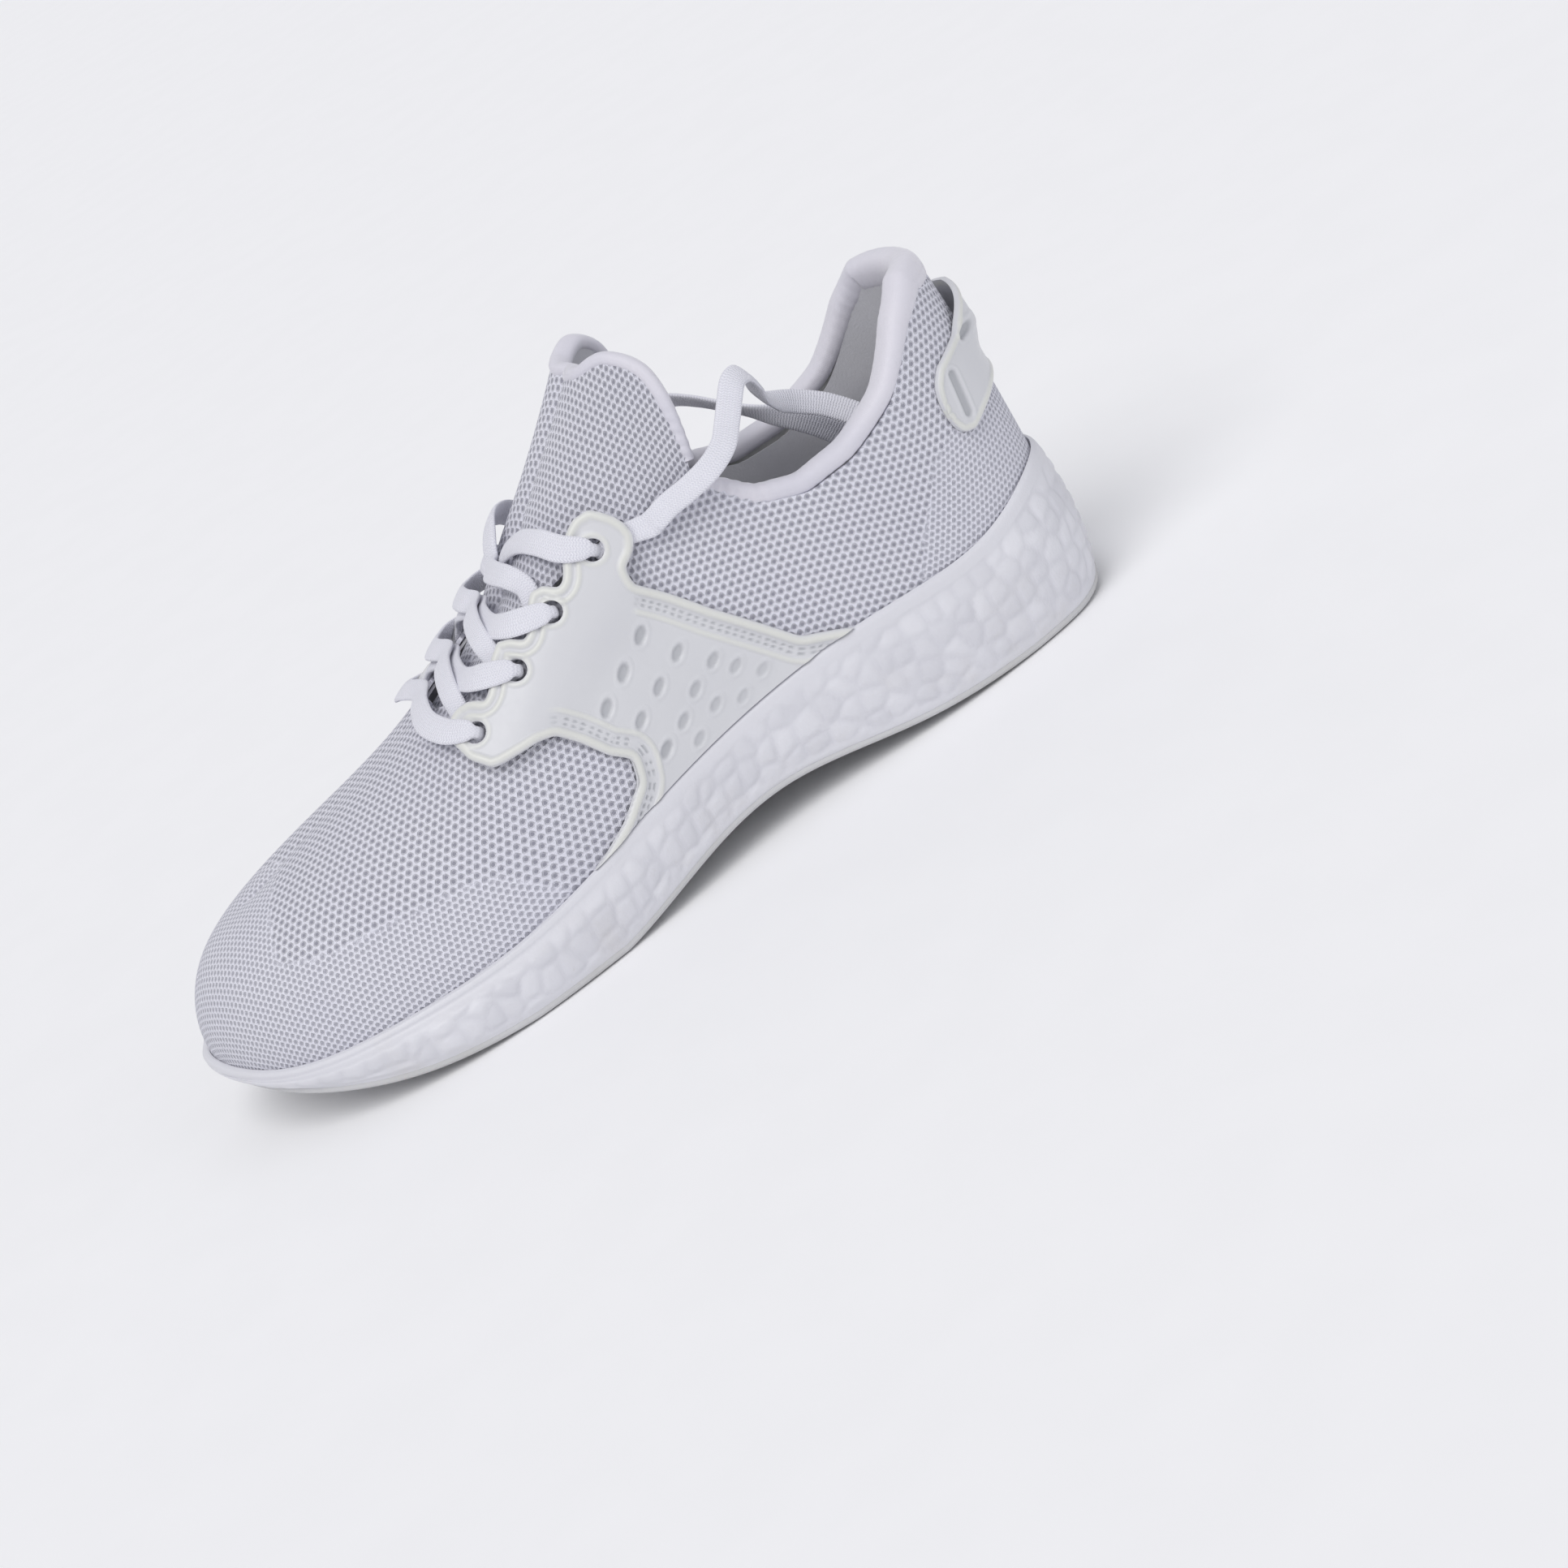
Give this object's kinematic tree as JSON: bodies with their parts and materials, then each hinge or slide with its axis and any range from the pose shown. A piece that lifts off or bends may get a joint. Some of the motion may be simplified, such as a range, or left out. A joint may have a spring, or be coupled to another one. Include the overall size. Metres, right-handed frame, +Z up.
{
  "type": "running shoe",
  "caption": "Low left running shoe with a foam sole unit, knitted sock-like upper, moulded side cages laced over a folding tongue, and a heel tab.",
  "frame": {"origin": "centre of the shoe's bounding box, on the ground plane", "axes": "toe towards -X, heel towards +X, lateral side towards -Y, +Z up"},
  "size_m": [0.2906, 0.1057, 0.1353],
  "materials": {
    "rubber": "matt, fine grain",
    "foam": "moulded bead foam, pebbled",
    "board": "woven lasting board",
    "insole_fabric": "brushed fabric on foam",
    "knit": "open knitted mesh",
    "stiffener": "thin moulded stiffener",
    "pad": "soft foam",
    "lining": "smooth lining textile",
    "satin": "smooth stretch binding",
    "cage": "satin moulded film",
    "lace": "flat woven lace",
    "aglet": "clear white tube"
  },
  "bodies": {
    "shoe": {"outsole": "rubber", "midsole": "foam", "strobel_board": "board", "insole": "insole_fabric", "vamp": "knit", "quarter_lateral": "knit", "quarter_medial": "knit", "heel_panel": "knit", "heel_counter": "stiffener", "toe_puff": "stiffener", "collar_foam": "pad", "vamp_lining": "lining", "quarter_lining": "lining", "collar_binding": "satin", "cage_lateral": "cage", "cage_medial": "cage", "heel_tab": "cage", "tongue_base": "knit", "lace": "lace", "lace_end_lateral": "lace", "lace_end_medial": "lace", "aglet_lateral": "aglet", "aglet_medial": "aglet"},
    "tongue": {"tongue_flap": "knit", "tongue_foam": "pad", "tongue_lining": "lining", "tongue_binding": "satin"}
  },
  "joints": [
    {"name": "tongue_fold", "type": "hinge", "parent": "shoe", "child": "tongue", "pos_m": [0.0192, 0.0015, 0.106], "axis": [0, -1, 0], "range_deg": [0, 20], "stiffness_Nm_per_rad": 0.02}
  ]
}
